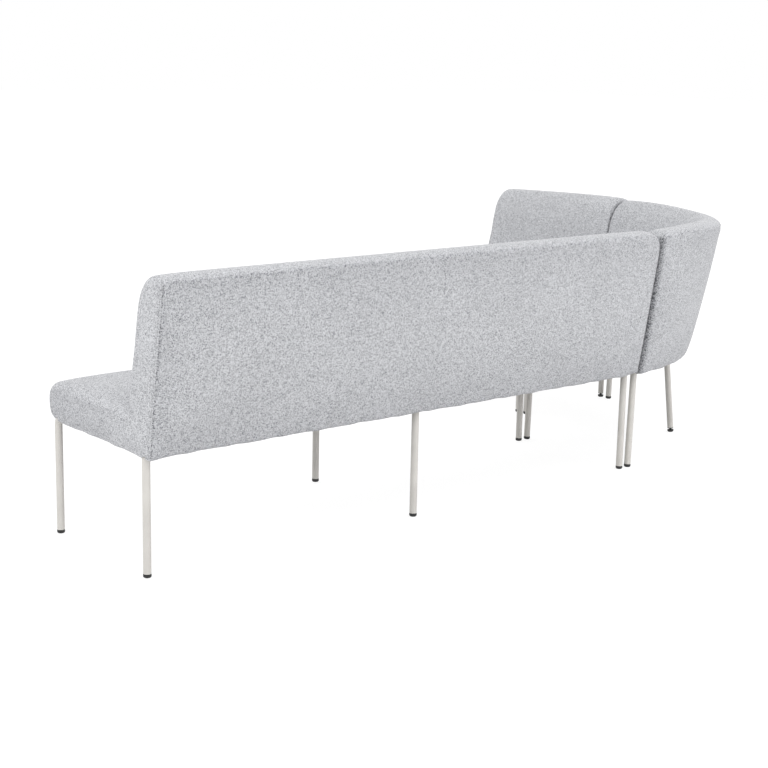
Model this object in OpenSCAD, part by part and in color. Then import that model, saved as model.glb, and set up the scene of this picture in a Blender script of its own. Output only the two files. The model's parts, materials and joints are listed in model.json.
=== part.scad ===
// Upholstered banquette bench for a cafe or restaurant: a long straight unit, a quarter-round
// corner unit and a short straight unit that stand in an L. Each unit is one fabric-covered
// seat and back on legs of bent steel tube, with a screw-in levelling glide in every leg.
// Millimetres. +X runs along the long unit, its backrest towards -Y, +Z up, floor at Z = 0.

/* [Units] */
// Length of the long straight unit
long_len = 1900; // [1400:10:2400]
// Length of the short straight unit
short_len = 675; // [500:5:1200]
// Radius of the corner unit, from its centre to the row of back legs
corner_r = 784; // [740:1:900]
// Gap between the covers of two neighbouring units
unit_gap = 12; // [8:1:30]

/* [Seat and back] */
// Height of the seat at its front edge
seat_h = 447; // [410:1:490]
// Height of the top of the backrest at the ends of a unit
total_h = 813; // [740:1:900]
// Height of the cover's lower edge above the floor
hem_z = 337; // [320:1:345]
// Seat front, ahead of the row of back legs
seat_front = 501; // [497:1:530]
// Foot of the backrest's front face, ahead of the row of back legs
crease_y = 66; // [50:1:90]
// Rear face at the lower edge, behind the row of back legs
rear_low = 48; // [40:1:70]
// Rear face at the top seam, behind the row of back legs
rear_high = 117; // [100:1:140]
// Thickness of the backrest where its top begins to round
back_thick = 118; // [95:1:135]
// Swell of the backrest's faces between the ends of a unit
crown = 4; // [0:0.5:8]
// Swell of the seat between the ends of a unit
seat_crown = 8; // [0:0.5:12]
// How far the rear face of the corner unit pulls in at its middle, low down
corner_draw = 28; // [0:1:34]

/* [Cover and padding] */
// Thickness of the woven cover
fabric_t = 2; // [1:0.5:3]
// Rounding of the cover at the ends of a unit
end_round = 16; // [10:1:20]
// Clearance between the cover, the foams and the boards
soft_gap = 0.3; // [0.2:0.1:0.6]

/* [Legs] */
// Distance between the row of back legs and the row of front legs
leg_depth = 480; // [440:1:480]
// Leg axis to the end of its unit
leg_inset = 15; // [14:1:22]
// Outer diameter of the leg tube
tube_d = 22; // [20:1:23]
// Wall of the leg tube
tube_wall = 1.5; // [1:0.1:2]
// Bend radius of the tube, on its axis
bend_r = 25; // [22:1:40]
// How far the feet of the corner unit's leg frames lean towards the next unit
corner_lean = 8; // [0:1:9]
// How far the long unit's left front leg stands in from its back leg
left_turn_in = 10; // [0:1:14]
// Foot of the corner unit's outer leg, from the corner's centre
outer_foot_r = 765; // [740:1:775]
// How far that foot stands outside the middle of the leg's plate
outer_splay = 38; // [0:1:45]

/* [Glides] */
// Diameter of a glide's foot
foot_d = 23; // [22:0.5:26]
// Height of a glide's foot
foot_h = 9; // [7:0.5:12]
// How far the two screwed-out glides stand out of their tubes
glide_out = 6; // [2:0.5:9]
// Diameter of a glide's stem
stem_d = 8; // [6:1:10]
// Length of a glide's stem
stem_len = 28; // [24:1:40]
// Thickness of the flange that closes a tube's end
flange_t = 2; // [1:0.5:3]
// Length of the insert inside a tube
insert_len = 22; // [18:1:30]

/* [Boards and fixings] */
// Thickness of the seat board
board_t = 18; // [15:1:24]
// Thickness of the back board
back_board_t = 12; // [9:1:15]
// Thickness of a rib between seat board and back board
rib_t = 18; // [12:1:24]
// Ribs in the long unit
long_ribs = 5; // [3:1:8]
// Ribs in the corner unit
corner_ribs = 3; // [2:1:5]
// Ribs in the short unit
short_ribs = 2; // [1:1:4]
// Thickness of the plates on the leg frames
plate_t = 4; // [3:0.5:5]
// Length of a plate, from the tube's axis
plate_reach = 48; // [44:1:60]
// Width of a plate
plate_w = 30; // [24:1:40]
// Diameter of the bolts
bolt_d = 6; // [5:1:8]
// Thickness of the lining under the seat board
lining_t = 1; // [0.5:0.5:2]
// Thickness of the plates that link two units
link_t = 3; // [2:0.5:5]

/* [Hidden] */

$fn = 48;
unit_vec = 1;
unit_share = 1;
quarter = 90;
half_turn = 180;
overrun = 5;

// Plan of the L, from the axis of the long unit's left back leg
corner_x = long_len - leg_inset + unit_gap;
corner_y = corner_r;
short_y = corner_y + unit_gap;
short_x = corner_x + corner_r;
long_start = -leg_inset;
long_end = long_len - leg_inset;

// Heights of the base, from the leg tube upwards
tube_r = tube_d / 2;
weld_bite = 1;
hem_drop = 3;
rail_z = hem_z - hem_drop + tube_r - weld_bite;
plate_z = rail_z + tube_r - weld_bite;
lining_z = plate_z + plate_t;
board_z = lining_z + lining_t;
board_top = board_z + board_t;

// Outline of the upholstery, seen from the end of a unit. Distances run forwards from the row of
// back legs, then up. The rear top seam, the rear lower corner and the crease are sharp.
nose_r = 42;
nose_rise = 10;
crease_drop = 16;
seam_drop = 15;
top_flat = 34;
hem_tuck = 13;
tuck_rise = 10;
front_in = 4;
front_rise = 26;
nose_steps = 4;
rear_bulge = 3;
back_rise = total_h - seat_h;
back_lean = crease_y + rear_high - back_thick;
seat_run = seat_front - nose_r - crease_y;
// Share of the backrest's rise, and of the lean of its front face, at points up that face
back_front_shares = [[0.12, 0.10], [0.28, 0.27], [0.46, 0.50], [0.64, 0.66], [0.79, 0.84]];
// Share of the backrest's thickness and of the rounding's fall, over the top to the seam
top_shares = [[1.06, 1.13], [0.975, 0.75], [0.865, 0.45], [0.73, 0.22], [0.56, 0.07], [0.36, 0],
    [0.17, 0.08]];
// Share of the seat's run and of the crease's drop, from the nose back to the crease
seat_top_shares = [[0.68, -0.1], [0.36, 0.05], [0.13, 0.45]];
// Share of the rear face's rise at points down from the seam
rear_shares = [0.82, 0.58, 0.34, 0.14];
top_fall = 60;
seam_z = total_h - seam_drop;

outline = concat(
    // Underside, from the rear corner to the tucked front edge
    [[-rear_low, hem_z], [0, hem_z], [leg_depth / 2, hem_z], [leg_depth - nose_r, hem_z],
     [seat_front - hem_tuck, hem_z + tuck_rise]],
    // Front of the seat, then round its nose
    [[seat_front - front_in, hem_z + front_rise]],
    [for (i = [0 : nose_steps])
        [seat_front - nose_r + nose_r * cos(quarter * i / nose_steps),
         seat_h - nose_r + nose_r * sin(quarter * i / nose_steps)]],
    // Top of the seat, back to the crease
    [for (s = seat_top_shares) [crease_y + seat_run * s[0], seat_h - crease_drop * s[1]]],
    [[crease_y, seat_h - crease_drop]],
    // Front of the backrest, leaning back
    [for (s = back_front_shares) [crease_y - back_lean * s[1], seat_h + back_rise * s[0]]],
    // Over its top to the rear seam
    [for (s = top_shares) [-rear_high + back_thick * s[0], total_h - top_fall * s[1]]],
    [[-rear_high, seam_z]],
    // Down the rear face
    [for (s = rear_shares)
        [-rear_low - (rear_high - rear_low) * s - rear_bulge * 4 * s * (1 - s),
         hem_z + (seam_z - hem_z) * s]]
);
under_points = 5;
crease_point = under_points + 1 + nose_steps + 1 + len(seat_top_shares);
seam_point = len(outline) - len(rear_shares) - 1;

// Outward direction at a point of a closed outline, mitred so that both sides move alike
function side_normal(a, b) = [b[1] - a[1], a[0] - b[0]] / norm(b - a);
function mitre(p, i) =
    let (n = len(p), u = side_normal(p[(i + n - 1) % n], p[i]), v = side_normal(p[i], p[(i + 1) % n]))
    (u + v) / (1 + u * v);
outline_normals = [for (i = [0 : len(outline) - 1]) mitre(outline, i)];

// Outline of a skin t inside the cover, rounded in and swollen out by a share of the crowns. The
// underside is neither, so that the hem stays level.
function swell_at(i) = i < under_points ? 0 : i < crease_point ? seat_crown : crown;
function section(t, inset, share) = [for (i = [0 : len(outline) - 1])
    let (n = outline_normals[i], out = swell_at(i) * share - t)
    outline[i] + [n[0] * (out - inset), n[1] * (out - (i < under_points ? 0 : inset))]];

// Stations along a unit: distance from its start, inset and share of the crowns
round_steps = 3;
mid_steps = [6, 9, 4];
function end_station(t, i) = let (a = quarter * i / round_steps, r = end_round - t)
    [t + r * (1 - cos(a)), r * (1 - sin(a)), 0];
function stations(kind, length, t) = let (steps = mid_steps[kind]) concat(
    [for (i = [0 : round_steps]) end_station(t, i)],
    [for (i = [1 : steps - 1])
        [end_round + (length - 2 * end_round) * i / steps, 0, sqrt(sin(half_turn * i / steps))]],
    [for (i = [round_steps : -1 : 0]) let (s = end_station(t, i)) [length - s[0], s[1], s[2]]]);

// The corner unit runs straight for the rounding of its ends and turns between them
arc_x = corner_x + end_round;
arc_y = corner_y - end_round;
arc_r = corner_r - end_round;
corner_len = 2 * end_round + arc_r * PI / 2;
function unit_len(kind) = kind == 0 ? long_len : kind == 1 ? corner_len : short_len;

// The rear face of the corner unit pulls in, most low down and at its middle, and its top seam
// rounds off there. The tables hold the moves of the seam and of the two points before it.
draw_fade_share = 0.8;
seam_ins = [0, 3, 8];
seam_falls = [3, 8, 15];
function rear_draw(i, p) = i > 0 && i < seam_point ? 0 :
    corner_draw * (1 - draw_fade_share * (p[1] - hem_z) / (seam_z - hem_z));
function draw_in(i, p, share) = let (k = i - seam_point + len(seam_ins) - 1, near = k >= 0 && i <= seam_point)
    sin(half_turn * share) * [rear_draw(i, p) + (near ? seam_ins[k] : 0), near ? -seam_falls[k] : 0];

// Places of the three units: a point at a distance along the unit, forwards and up
function long_place(d, p) = [long_start + d, p[0], p[1]];
function short_place(d, p) = [short_x - p[0], short_y + d, p[1]];
function corner_place(d, p) = let (a = quarter * (d - end_round) / (corner_len - 2 * end_round))
    d <= end_round ? [corner_x + d, corner_y - corner_r + p[0], p[1]] :
    d >= corner_len - end_round ? [corner_x + corner_r - p[0], corner_y - corner_len + d, p[1]] :
    [arc_x + (arc_r - p[0]) * sin(a), arc_y - (arc_r - p[0]) * cos(a), p[1]];
function place(kind, d, p) =
    kind == 0 ? long_place(d, p) : kind == 1 ? corner_place(d, p) : short_place(d, p);

// Stuffed body of a unit: a skin over its stations, t inside the outside of the cover. Each end
// closes on a point below the crease, which every point of the outline faces.
end_middle = [crease_y - crease_drop, (hem_z + seat_h) / 2];
module body(kind, t) {
    length = unit_len(kind);
    st = stations(kind, length, t);
    n = len(outline);
    m = len(st);
    points = concat([for (s = st) let (sec = section(t, s[1], s[2])) for (i = [0 : n - 1])
        place(kind, s[0], kind == 1 ? sec[i] + draw_in(i, sec[i], s[0] / length) : sec[i])],
        [for (s = [st[0], st[m - 1]]) place(kind, s[0], end_middle)]);
    skin = [for (j = [0 : m - 2]) for (i = [0 : n - 1]) let (k = (i + 1) % n)
        each [[j * n + i, (j + 1) * n + i, (j + 1) * n + k], [j * n + i, (j + 1) * n + k, j * n + k]]];
    caps = [for (i = [0 : n - 1]) let (k = (i + 1) % n)
        each [[i, k, m * n], [(m - 1) * n + k, (m - 1) * n + i, m * n + 1]]];
    polyhedron(points, concat(skin, caps), convexity = 6);
}

// A flat section, forwards and up, carried along a unit between two equal margins
module straight_run(kind, from, to) {
    if (kind == 0)
        translate([long_start + from, 0, 0]) rotate([quarter, 0, quarter])
            linear_extrude(to - from, convexity = 6) children();
    if (kind == 2)
        translate([short_x, short_y + from, 0]) rotate([quarter, 0, half_turn])
            linear_extrude(to - from, convexity = 6) children();
}
module along(kind, margin) {
    if (kind != 1) straight_run(kind, margin, unit_len(kind) - margin) children();
    if (kind == 1) union() {
        translate([corner_x + margin, 0, 0]) rotate([quarter, 0, quarter])
            linear_extrude(end_round - margin, convexity = 6) children();
        translate([arc_x, arc_y, 0]) rotate([0, 0, -quarter])
            rotate_extrude(angle = quarter, $fn = 96, convexity = 6)
                translate([arc_r, 0]) mirror([unit_vec, 0]) children();
        translate([short_x, arc_y, 0]) rotate([quarter, 0, half_turn])
            linear_extrude(end_round - margin, convexity = 6) children();
    }
}

// The same section as a plate of width w, at a share of the unit's length
module across(kind, share, w) {
    if (kind != 1) straight_run(kind, unit_len(kind) * share - w / 2, unit_len(kind) * share + w / 2)
        children();
    if (kind == 1)
        translate([arc_x, arc_y, 0]) rotate([0, 0, quarter * (share - 1)]) rotate([quarter, 0, 0])
            linear_extrude(w, center = true, convexity = 6)
                translate([arc_r, 0]) mirror([unit_vec, 0]) children();
}

// Cover: a skin of fabric over the whole unit, open underneath inside its hem
hem_back = corner_draw - rear_low + fabric_t + overrun;
hem_front = seat_front - hem_tuck - overrun;
module cover(kind) color("#c2c4c8") difference() {
    body(kind, 0);
    body(kind, fabric_t);
    along(kind, fabric_t + soft_gap)
        polygon([[hem_back, hem_z - overrun], [hem_front, hem_z - overrun],
                 [hem_front, hem_z + tuck_rise + overrun], [hem_back, hem_z + tuck_rise + overrun]]);
}

// Boards. The back board stands on the seat board's rear edge and leans with the rear face. A
// glue line parts it from the flat ribs, so that they clear the corner unit's round board.
rear_pad = 12;
draw_pad = 6;
nose_pad = 31;
top_pad = 43;
top_rear_pad = 22;
board_margin = 10;
rib_foot = 46;
rib_rise = 210;
rib_glue = 0.15;
straight_back = rear_low - rear_pad;
board_back = [straight_back, rear_low - corner_draw - draw_pad, straight_back];
board_front = seat_front - nose_pad;
back_board_top = total_h - top_pad;
back_board_y = top_rear_pad - rear_high;
function rake_share(kind) = (-board_back[kind] - back_board_y) / (back_board_top - board_top);
module seat_board_section(kind, z, t) translate([-board_back[kind], z])
    square([board_front + board_back[kind], t]);
module back_board_section(kind, gap = 0) let (b = -board_back[kind]) polygon([
    [b - gap, board_top], [b + back_board_t + gap, board_top],
    [back_board_y + back_board_t + gap, back_board_top + gap], [back_board_y - gap, back_board_top + gap]]);
module rib_section(kind, gap = 0) let (b = back_board_t - board_back[kind] + rib_glue,
    top = b - rake_share(kind) * rib_rise) polygon([
    [b, board_top], [b + rib_foot + gap, board_top],
    [top + gap, board_top + rib_rise + gap], [top, board_top + rib_rise + gap]]);
rib_counts = [long_ribs, corner_ribs, short_ribs];
module each_rib(kind, w) for (i = [1 : rib_counts[kind]])
    across(kind, (i - 1 / 2) / rib_counts[kind], w) children();

// Foams, split by a face that runs up to the crease
foam_split = 6;
foam_reach = 60;
crease_z = seat_h - crease_drop;
module back_foam_section(kind) let (b = -board_back[kind] - soft_gap) polygon([
    [-rear_high - foam_reach, board_z], [b, board_z],
    [b, board_top + soft_gap], [crease_y - foam_split, board_top + soft_gap],
    [crease_y, crease_z], [crease_y + foam_reach, crease_z + foam_reach],
    [crease_y + foam_reach, total_h + foam_reach], [-rear_high - foam_reach, total_h + foam_reach]]);
module seat_foam_section() polygon([[crease_y - foam_split + 2 * soft_gap, board_top + soft_gap],
    [board_front + soft_gap, board_top + soft_gap], [board_front + soft_gap, board_z],
    [seat_front + foam_reach, board_z], [seat_front + foam_reach, crease_z + foam_reach],
    [crease_y + foam_reach + 2 * soft_gap, crease_z + foam_reach], [crease_y + 2 * soft_gap, crease_z]]);
module seat_foam(kind) color("#d9d2bd") intersection() {
    body(kind, fabric_t + soft_gap);
    along(kind, 0) seat_foam_section();
}
module back_foam(kind) color("#d9d2bd") difference() {
    intersection() {
        body(kind, fabric_t + soft_gap);
        along(kind, 0) back_foam_section(kind);
    }
    along(kind, board_margin - soft_gap) back_board_section(kind, soft_gap);
    each_rib(kind, rib_t + 2 * soft_gap) rib_section(kind, soft_gap);
}

// Leg frames: the back leg's axis at the rail, turn, lean of the feet, side of the plates,
// reach of the back glide, whether a link plate joins it, and its unit
long_span = long_len - 2 * leg_inset;
frame_a_x = corner_x + leg_inset + corner_lean;
frame_b_y = corner_y - leg_inset - corner_lean;
near_y = short_y + leg_inset;
FRAMES = [
    [[0, 0], -asin(left_turn_in / leg_depth), 0, 1, 0, false, 0],
    [[long_span / 2, 0], 0, 0, 1, 0, false, 0],
    [[long_span, 0], 0, 0, -1, 0, true, 0],
    [[frame_a_x, 0], 0, -corner_lean, 1, 0, true, 1],
    [[short_x, frame_b_y], quarter, corner_lean, -1, 0, true, 1],
    [[short_x, near_y], quarter, 0, 1, glide_out, true, 2],
    [[short_x, short_y + short_len - leg_inset], quarter, 0, -1, 0, false, 2]
];
inner_r = tube_r - tube_wall;
tube_end = foot_h + flange_t;
function lean_angle(f) = -atan(f[2] / rail_z);
function leg_drop(f) = rail_z / cos(lean_angle(f));
function out_at(f, front) = front == 1 ? 0 : f[4];
module at_rail(f) translate([f[0][0], f[0][1], rail_z]) rotate([0, 0, f[1]]) children();
module at_foot(f, front) at_rail(f) translate([0, front * leg_depth, 0])
    rotate([0, lean_angle(f), 0]) translate([0, 0, -leg_drop(f)]) children();

module tube_path(r, drop, back_end, front_end) {
    translate([0, 0, -drop + back_end]) cylinder(r = r, h = drop - back_end - bend_r);
    translate([0, leg_depth, -drop + front_end]) cylinder(r = r, h = drop - front_end - bend_r);
    translate([0, bend_r, -bend_r]) rotate([quarter, 0, quarter]) rotate([0, 0, quarter])
        rotate_extrude(angle = quarter) translate([bend_r, 0]) circle(r);
    translate([0, leg_depth - bend_r, -bend_r]) rotate([quarter, 0, quarter])
        rotate_extrude(angle = quarter) translate([bend_r, 0]) circle(r);
    translate([0, bend_r, 0]) rotate([-quarter, 0, 0]) cylinder(r = r, h = leg_depth - 2 * bend_r);
}

// Bolts through the plates, in pairs beside the tube
plate_in = 80;
bolt_near = 9;
bolt_apart = 18;
bolt_clear = 0.3;
head_d = 10;
head_h = 4;
outer_plate_r = 32;
outer_bolt_r = 22;
outer_bolts = 3;
module each_frame_bolt(f) for (y = [plate_in, leg_depth - plate_in]) for (k = [0, 1])
    translate([f[3] * (tube_r + bolt_near + k * bolt_apart), y, 0]) children();

module leg_frame(i) color("#dedbd3") {
    f = FRAMES[i];
    difference() {
        union() {
            at_rail(f) rotate([0, lean_angle(f), 0])
                tube_path(tube_r, leg_drop(f), tube_end + out_at(f, 0), tube_end);
            at_rail(f) for (y = [plate_in, leg_depth - plate_in])
                translate([f[3] > 0 ? -weld_bite : -plate_reach, y - plate_w / 2, plate_z - rail_z])
                    cube([plate_reach + weld_bite, plate_w, plate_t]);
        }
        at_rail(f) rotate([0, lean_angle(f), 0]) tube_path(inner_r, leg_drop(f), 0, 0);
        at_rail(f) each_frame_bolt(f) translate([0, 0, -overrun])
            cylinder(d = bolt_d + 2 * bolt_clear, h = tube_d + overrun);
        if (f[5]) at_rail(f) translate([0, leg_depth / 2, -tube_d])
            cylinder(d = link_screw_d + 2 * bolt_clear, h = tube_d);
    }
}

// Outer leg of the corner unit: a single splayed tube under a round plate
outer_turn = -quarter / 2;
outer_angle = -atan(outer_splay / plate_z);
outer_drop = (plate_z + plate_t / 2) / cos(outer_angle);
outer_top_r = outer_foot_r - outer_splay;
module at_outer(r) translate([corner_x, corner_y, 0]) rotate([0, 0, outer_turn]) translate([r, 0, 0])
    children();
module at_outer_foot() at_outer(outer_foot_r) rotate([0, outer_angle, 0]) children();
module each_outer_bolt() at_outer(outer_top_r) for (i = [0 : outer_bolts - 1])
    rotate([0, 0, 2 * half_turn * i / outer_bolts]) translate([outer_bolt_r, 0, 0]) children();
module outer_leg() color("#dedbd3") difference() {
    union() {
        at_outer_foot() translate([0, 0, tube_end + glide_out])
            cylinder(r = tube_r, h = outer_drop - tube_end - glide_out);
        at_outer(outer_top_r) translate([0, 0, plate_z]) cylinder(r = outer_plate_r, h = plate_t);
    }
    at_outer_foot() cylinder(r = inner_r, h = outer_drop - plate_t);
    each_outer_bolt() translate([0, 0, plate_z - overrun])
        cylinder(d = bolt_d + 2 * bolt_clear, h = plate_t + 2 * overrun);
}

module each_bolt(kind) {
    for (f = FRAMES) if (f[6] == kind) translate([f[0][0], f[0][1], 0]) rotate([0, 0, f[1]])
        each_frame_bolt(f) children();
    if (kind == 1) each_outer_bolt() children();
}

// Tee nuts pressed into the seat board from above, and the bolts that reach up into them
nut_flange_d = 16;
nut_flange_t = 1.5;
nut_wall = 1.5;
nut_barrel_d = bolt_d + 2 * nut_wall;
nut_drop = 12;
nut_clear = 0.1;
module tee_nut(gap) {
    translate([0, 0, board_top - nut_flange_t - gap])
        cylinder(d = nut_flange_d + 2 * gap, h = nut_flange_t + gap + (gap > 0 ? overrun : 0));
    translate([0, 0, board_top - nut_drop])
        cylinder(d = nut_barrel_d + 2 * gap, h = nut_drop - nut_flange_t);
}
module tee_nuts(kind) color("#b9bdc0") each_bolt(kind) difference() {
    tee_nut(0);
    translate([0, 0, board_z]) cylinder(d = bolt_d + bolt_clear, h = board_t + overrun);
}
module bolts(kind) color("#b9bdc0") each_bolt(kind) {
    translate([0, 0, plate_z - head_h]) cylinder(d = head_d, h = head_h);
    translate([0, 0, plate_z]) cylinder(d = bolt_d, h = board_top - nut_flange_t - plate_z);
}
module seat_board(kind) color("#cfae7e") difference() {
    along(kind, board_margin) seat_board_section(kind, board_z, board_t);
    each_bolt(kind) {
        tee_nut(nut_clear);
        translate([0, 0, board_z - overrun]) cylinder(d = nut_barrel_d, h = board_t);
    }
}
module back_board(kind) color("#cfae7e") along(kind, board_margin) back_board_section(kind);
module back_ribs(kind) color("#bf9a68") each_rib(kind, rib_t) rib_section(kind);
module lining(kind) color("#2c2c2e") difference() {
    along(kind, board_margin) seat_board_section(kind, lining_z, lining_t);
    each_bolt(kind) translate([0, 0, lining_z - overrun])
        cylinder(d = nut_barrel_d, h = lining_t + 2 * overrun);
}

// Threaded inserts that close the tube ends, and the glides screwed into them
stem_clear = 0.05;
module insert(out) translate([0, 0, foot_h + out]) difference() {
    union() {
        cylinder(r = tube_r, h = flange_t);
        cylinder(r = inner_r - stem_clear, h = flange_t + insert_len);
    }
    translate([0, 0, -overrun]) cylinder(r = stem_d / 2 + stem_clear, h = insert_len + flange_t + 2 * overrun);
}
module leg_inserts(kind) color("#1f1f20") {
    for (f = FRAMES) if (f[6] == kind) for (front = [0, 1]) at_foot(f, front) insert(out_at(f, front));
    if (kind == 1) at_outer_foot() insert(glide_out);
}
foot_round = 5;
round_points = 6;
module foot_shape() rotate_extrude() polygon(concat(
    [[0, 0]],
    [for (i = [0 : round_points]) let (a = quarter * i / round_points)
        [foot_d / 2 - foot_round * (1 - sin(a)), foot_round * (1 - cos(a))]],
    [[foot_d / 2, foot_h], [stem_d / 2, foot_h], [stem_d / 2, foot_h + stem_len], [0, foot_h + stem_len]]));
module floor_cut() translate([0, -foot_d, -foot_h]) cube([short_x + foot_d, corner_y + foot_d, foot_h]);
module glide(i, front) color("#1f1f20") difference() {
    at_foot(FRAMES[i], front) foot_shape();
    if (FRAMES[i][2] != 0) floor_cut();
}
module outer_glide() color("#1f1f20") difference() {
    at_outer_foot() foot_shape();
    floor_cut();
}

// Link plates under two neighbouring rails, each held by two screws
link_w = 28;
link_end = 14;
link_gap = 0.2;
link_screw_d = 5;
link_head_d = 9;
link_screw_rise = 8;
link_z = rail_z - tube_r - link_gap - link_t;
module at_link(a) at_rail(FRAMES[a]) translate([0, leg_depth / 2, link_z - rail_z]) children();
function link_span(a) = norm(FRAMES[a + 1][0] - FRAMES[a][0]);
module link_plate(a) color("#dedbd3") at_link(a) difference() {
    translate([-link_end, -link_w / 2, 0]) cube([link_span(a) + 2 * link_end, link_w, link_t]);
    for (x = [0, link_span(a)]) translate([x, 0, -overrun])
        cylinder(d = link_screw_d + 2 * bolt_clear, h = link_t + 2 * overrun);
}
module link_screws() color("#b9bdc0") for (a = [2, 4]) at_link(a) for (x = [0, link_span(a)])
    translate([x, 0, 0]) {
        translate([0, 0, -link_t]) cylinder(d = link_head_d, h = link_t);
        cylinder(d = link_screw_d, h = link_t + link_screw_rise);
    }

// The origin is on the floor below the middle of the whole bench's box
swollen = section(0, 0, unit_share);
rear_reach = max([for (p = swollen) -p[0]]);
bench_mid = [(long_start + short_x + rear_reach) / 2, (short_y + short_len - rear_reach) / 2];
module bench() translate([-bench_mid[0], -bench_mid[1], 0]) children();

// The pieces, in place
module long_cover() bench() cover(0);
module long_seat_foam() bench() seat_foam(0);
module long_back_foam() bench() back_foam(0);
module long_seat_board() bench() seat_board(0);
module long_back_board() bench() back_board(0);
module long_back_ribs() bench() back_ribs(0);
module long_lining() bench() lining(0);
module long_tee_nuts() bench() tee_nuts(0);
module long_bolts() bench() bolts(0);
module long_leg_inserts() bench() leg_inserts(0);
module corner_cover() bench() cover(1);
module corner_seat_foam() bench() seat_foam(1);
module corner_back_foam() bench() back_foam(1);
module corner_seat_board() bench() seat_board(1);
module corner_back_board() bench() back_board(1);
module corner_back_ribs() bench() back_ribs(1);
module corner_lining() bench() lining(1);
module corner_tee_nuts() bench() tee_nuts(1);
module corner_bolts() bench() bolts(1);
module corner_leg_inserts() bench() leg_inserts(1);
module short_cover() bench() cover(2);
module short_seat_foam() bench() seat_foam(2);
module short_back_foam() bench() back_foam(2);
module short_seat_board() bench() seat_board(2);
module short_back_board() bench() back_board(2);
module short_back_ribs() bench() back_ribs(2);
module short_lining() bench() lining(2);
module short_tee_nuts() bench() tee_nuts(2);
module short_bolts() bench() bolts(2);
module short_leg_inserts() bench() leg_inserts(2);
module long_leg_frame_left() bench() leg_frame(0);
module long_leg_frame_middle() bench() leg_frame(1);
module long_leg_frame_right() bench() leg_frame(2);
module corner_leg_frame_a() bench() leg_frame(3);
module corner_leg_frame_b() bench() leg_frame(4);
module short_leg_frame_near() bench() leg_frame(5);
module short_leg_frame_far() bench() leg_frame(6);
module corner_outer_leg() bench() outer_leg();
module link_plate_a() bench() link_plate(2);
module link_plate_b() bench() link_plate(4);
module all_link_screws() bench() link_screws();
module glide_long_left_back() bench() glide(0, 0);
module glide_long_left_front() bench() glide(0, 1);
module glide_long_middle_back() bench() glide(1, 0);
module glide_long_middle_front() bench() glide(1, 1);
module glide_long_right_back() bench() glide(2, 0);
module glide_long_right_front() bench() glide(2, 1);
module glide_corner_a_back() bench() glide(3, 0);
module glide_corner_a_front() bench() glide(3, 1);
module glide_corner_b_back() bench() glide(4, 0);
module glide_corner_b_front() bench() glide(4, 1);
module glide_short_near_back() bench() glide(5, 0);
module glide_short_near_front() bench() glide(5, 1);
module glide_short_far_back() bench() glide(6, 0);
module glide_short_far_front() bench() glide(6, 1);
module glide_corner_outer() bench() outer_glide();

long_cover();
long_seat_foam();
long_back_foam();
long_seat_board();
long_back_board();
long_back_ribs();
long_lining();
long_tee_nuts();
long_bolts();
long_leg_inserts();
corner_cover();
corner_seat_foam();
corner_back_foam();
corner_seat_board();
corner_back_board();
corner_back_ribs();
corner_lining();
corner_tee_nuts();
corner_bolts();
corner_leg_inserts();
short_cover();
short_seat_foam();
short_back_foam();
short_seat_board();
short_back_board();
short_back_ribs();
short_lining();
short_tee_nuts();
short_bolts();
short_leg_inserts();
long_leg_frame_left();
long_leg_frame_middle();
long_leg_frame_right();
corner_leg_frame_a();
corner_leg_frame_b();
short_leg_frame_near();
short_leg_frame_far();
corner_outer_leg();
link_plate_a();
link_plate_b();
all_link_screws();  // link_screws
glide_long_left_back();
glide_long_left_front();
glide_long_middle_back();
glide_long_middle_front();
glide_long_right_back();
glide_long_right_front();
glide_corner_a_back();
glide_corner_a_front();
glide_corner_b_back();
glide_corner_b_front();
glide_short_near_back();
glide_short_near_front();
glide_short_far_back();
glide_short_far_front();
glide_corner_outer();
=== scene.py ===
# %% [markdown]
# # An upholstered cafe banquette
#
# Three free-standing units stand in an L: a long straight one, a quarter-round corner and a short
# straight one. Each is a plywood seat and back with foam on them, a sewn wool cover pulled over
# the foam, and legs of bent steel tube. The CAD model already has the tubes, boards, fixings and
# glides. Here the soft parts are made again as real upholstery, and every part gets the finish
# that the real one has.

import json
import math

import bmesh
import bpy
import numpy as np
from mathutils import Matrix, Vector


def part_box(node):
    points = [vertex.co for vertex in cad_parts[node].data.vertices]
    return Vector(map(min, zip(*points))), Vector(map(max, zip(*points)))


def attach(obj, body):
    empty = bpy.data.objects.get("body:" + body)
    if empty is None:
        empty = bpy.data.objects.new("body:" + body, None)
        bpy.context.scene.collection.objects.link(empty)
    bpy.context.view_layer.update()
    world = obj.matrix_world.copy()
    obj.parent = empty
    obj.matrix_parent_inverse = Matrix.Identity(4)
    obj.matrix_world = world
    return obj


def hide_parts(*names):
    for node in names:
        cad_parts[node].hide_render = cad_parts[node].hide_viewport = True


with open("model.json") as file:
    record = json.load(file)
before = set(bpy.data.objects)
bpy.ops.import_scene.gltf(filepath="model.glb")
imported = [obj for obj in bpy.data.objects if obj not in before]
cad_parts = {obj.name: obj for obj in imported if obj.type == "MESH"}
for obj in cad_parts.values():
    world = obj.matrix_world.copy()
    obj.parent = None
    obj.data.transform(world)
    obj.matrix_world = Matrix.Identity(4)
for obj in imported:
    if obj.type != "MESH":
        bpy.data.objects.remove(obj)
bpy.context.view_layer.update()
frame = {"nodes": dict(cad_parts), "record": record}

# %% [markdown]
# ## The plan of the L
#
# Every piece goes where the CAD has it, so all places are counted from one point: the foot of the
# long unit's back left leg, which the CAD model itself gives. The upholstery is first made in a
# straight strip, as a sewer lays it out: distance along the unit, distance forwards from the row of
# back legs, and height. Only at the end is the strip laid along the wall, and bent for the corner.
# That way one recipe makes all three units.

# %% Where a strip lies in the room
MM = 0.001
LONG, CORNER, SHORT = "long", "corner", "short"
foot_low, foot_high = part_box("glide_long_left_back")
origin = (foot_low + foot_high) / 2

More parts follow.
